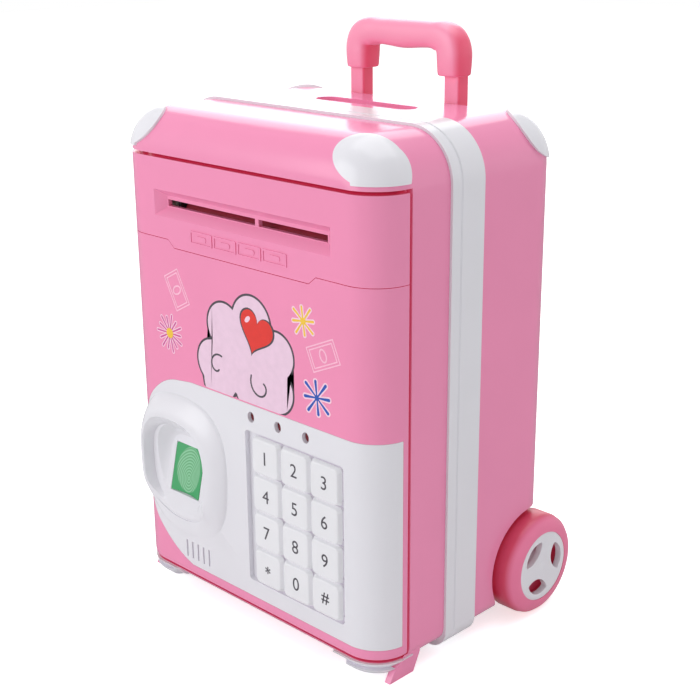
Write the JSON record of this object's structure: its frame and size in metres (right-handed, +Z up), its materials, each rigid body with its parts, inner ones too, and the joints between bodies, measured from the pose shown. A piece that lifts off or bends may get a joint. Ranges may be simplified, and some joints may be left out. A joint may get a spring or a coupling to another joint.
{
  "type": "toy safe coin bank",
  "caption": "Toy money safe shaped as a small trolley case, with a keypad door, note and coin slots, a telescopic handle and wheels.",
  "frame": {"origin": "on the floor under the middle of the bounding box", "axes": "+Z up, +X to the right as seen from the front, +Y from the door towards the back"},
  "size_m": [0.15, 0.1099, 0.2225],
  "materials": {
    "pink_case": "moulded ABS, glossy",
    "pink_handle": "moulded ABS, glossy",
    "white_trim": "moulded ABS, glossy",
    "white_key": "moulded ABS, satin",
    "pink_tyre": "moulded PVC, satin",
    "pad_green": "translucent ABS",
    "lens_red": "dark tinted",
    "plated_steel": "zinc plated",
    "feed_rubber": "matte, dyed through",
    "key_silicone": "matte",
    "black_frame": "moulded ABS, matte",
    "board_green": "solder mask",
    "gear_white": "moulded acetal",
    "cell_wrap": "plain printed sleeve",
    "speaker_black": "paper cone in a plastic frame"
  },
  "bodies": {
    "case": {"front_shell": "pink_case", "rear_shell": "pink_case", "front_rim": "white_trim", "rear_rim": "white_trim", "case_screws": "plated_steel", "coin_slot_plate": "pink_case", "front_feet": "pink_case", "strike_plate": "plated_steel", "hinge_pins": "plated_steel", "handle_guides": "pink_case", "wheel_axle": "plated_steel", "corner_guard_front_top_left": "white_trim", "corner_guard_rear_top_left": "white_trim", "corner_guard_front_base_left": "white_trim", "corner_guard_front_top_right": "white_trim", "corner_guard_rear_top_right": "white_trim", "corner_guard_front_base_right": "white_trim"},
    "door": {"door_shell": "pink_case", "note_slot_panel": "pink_case", "keypad_panel": "white_trim", "key_membrane": "key_silicone", "circuit_board": "board_green", "signal_lenses": "lens_red", "speaker": "speaker_black", "door_back_cover": "pink_case", "battery_box": "pink_case", "battery_cells": "cell_wrap", "battery_cover": "pink_case", "door_screws": "plated_steel", "feed_frame": "black_frame", "feed_motor": "plated_steel", "lock_housing": "pink_case"},
    "drive_roller_set": {"drive_roller": "feed_rubber", "drive_shaft": "plated_steel", "feed_gear": "gear_white"},
    "pinch_roller_set": {"pinch_roller": "feed_rubber", "pinch_shaft": "plated_steel"},
    "motor_rotor": {"motor_pinion": "gear_white", "motor_shaft": "plated_steel"},
    "bolt": {"lock_bolt": "plated_steel"},
    "finger_button": {"fingerprint_pad": "pad_green"},
    "handle": {"handle_grip": "pink_handle", "handle_post_left": "pink_handle", "handle_post_right": "pink_handle"},
    "wheel_left": {"wheel_tyre_left": "pink_tyre", "wheel_hub_left": "white_trim"},
    "wheel_right": {"wheel_tyre_right": "pink_tyre", "wheel_hub_right": "white_trim"},
    "button_1": {"key_1": "white_key"},
    "button_2": {"key_2": "white_key"},
    "button_3": {"key_3": "white_key"},
    "button_4": {"key_4": "white_key"},
    "button_5": {"key_5": "white_key"},
    "button_6": {"key_6": "white_key"},
    "button_7": {"key_7": "white_key"},
    "button_8": {"key_8": "white_key"},
    "button_9": {"key_9": "white_key"},
    "button_star": {"key_star": "white_key"},
    "button_0": {"key_0": "white_key"},
    "button_hash": {"key_hash": "white_key"}
  },
  "joints": [
    {"name": "door_hinge", "type": "hinge", "parent": "case", "child": "door", "pos_m": [-0.062, -0.04247, 0.09375], "axis": [0, 0, -1], "range_deg": [0, 105]},
    {"name": "handle_slide", "type": "slide", "parent": "case", "child": "handle", "axis": [0, 0, 1], "range_m": [-0.009, 0.03]},
    {"name": "wheel_spin_left", "type": "hinge", "parent": "case", "child": "wheel_left", "pos_m": [-0.0684, 0.03492, 0.02], "axis": [1, 0, 0], "continuous": true},
    {"name": "wheel_spin_right", "type": "hinge", "parent": "case", "child": "wheel_right", "pos_m": [0.0684, 0.03492, 0.02], "axis": [1, 0, 0], "continuous": true},
    {"name": "drive_roller_spin", "type": "hinge", "parent": "door", "child": "drive_roller_set", "pos_m": [0, -0.03807, 0.15515], "axis": [1, 0, 0], "continuous": true},
    {"name": "pinch_roller_spin", "type": "hinge", "parent": "door", "child": "pinch_roller_set", "pos_m": [0, -0.03807, 0.16325], "axis": [1, 0, 0], "continuous": true},
    {"name": "motor_spin", "type": "hinge", "parent": "door", "child": "motor_rotor", "pos_m": [-0.045, -0.03807, 0.14475], "axis": [1, 0, 0], "continuous": true},
    {"name": "bolt_slide", "type": "slide", "parent": "door", "child": "bolt", "axis": [1, 0, 0], "range_m": [0, 0.005]},
    {"name": "fingerprint_press", "type": "slide", "parent": "door", "child": "finger_button", "axis": [0, 1, 0], "range_m": [0, 0.0008], "stiffness_N_per_m": 600},
    {"name": "press_1", "type": "slide", "parent": "door", "child": "button_1", "axis": [0, 1, 0], "range_m": [0, 0.0012], "stiffness_N_per_m": 400},
    {"name": "press_2", "type": "slide", "parent": "door", "child": "button_2", "axis": [0, 1, 0], "range_m": [0, 0.0012], "stiffness_N_per_m": 400},
    {"name": "press_3", "type": "slide", "parent": "door", "child": "button_3", "axis": [0, 1, 0], "range_m": [0, 0.0012], "stiffness_N_per_m": 400},
    {"name": "press_4", "type": "slide", "parent": "door", "child": "button_4", "axis": [0, 1, 0], "range_m": [0, 0.0012], "stiffness_N_per_m": 400},
    {"name": "press_5", "type": "slide", "parent": "door", "child": "button_5", "axis": [0, 1, 0], "range_m": [0, 0.0012], "stiffness_N_per_m": 400},
    {"name": "press_6", "type": "slide", "parent": "door", "child": "button_6", "axis": [0, 1, 0], "range_m": [0, 0.0012], "stiffness_N_per_m": 400},
    {"name": "press_7", "type": "slide", "parent": "door", "child": "button_7", "axis": [0, 1, 0], "range_m": [0, 0.0012], "stiffness_N_per_m": 400},
    {"name": "press_8", "type": "slide", "parent": "door", "child": "button_8", "axis": [0, 1, 0], "range_m": [0, 0.0012], "stiffness_N_per_m": 400},
    {"name": "press_9", "type": "slide", "parent": "door", "child": "button_9", "axis": [0, 1, 0], "range_m": [0, 0.0012], "stiffness_N_per_m": 400},
    {"name": "press_star", "type": "slide", "parent": "door", "child": "button_star", "axis": [0, 1, 0], "range_m": [0, 0.0012], "stiffness_N_per_m": 400},
    {"name": "press_0", "type": "slide", "parent": "door", "child": "button_0", "axis": [0, 1, 0], "range_m": [0, 0.0012], "stiffness_N_per_m": 400},
    {"name": "press_hash", "type": "slide", "parent": "door", "child": "button_hash", "axis": [0, 1, 0], "range_m": [0, 0.0012], "stiffness_N_per_m": 400}
  ],
  "couplings": [
    {"joint": "pinch_roller_spin", "follows": "drive_roller_spin", "ratio": -1},
    {"joint": "motor_spin", "follows": "drive_roller_spin", "ratio": -1.6}
  ]
}
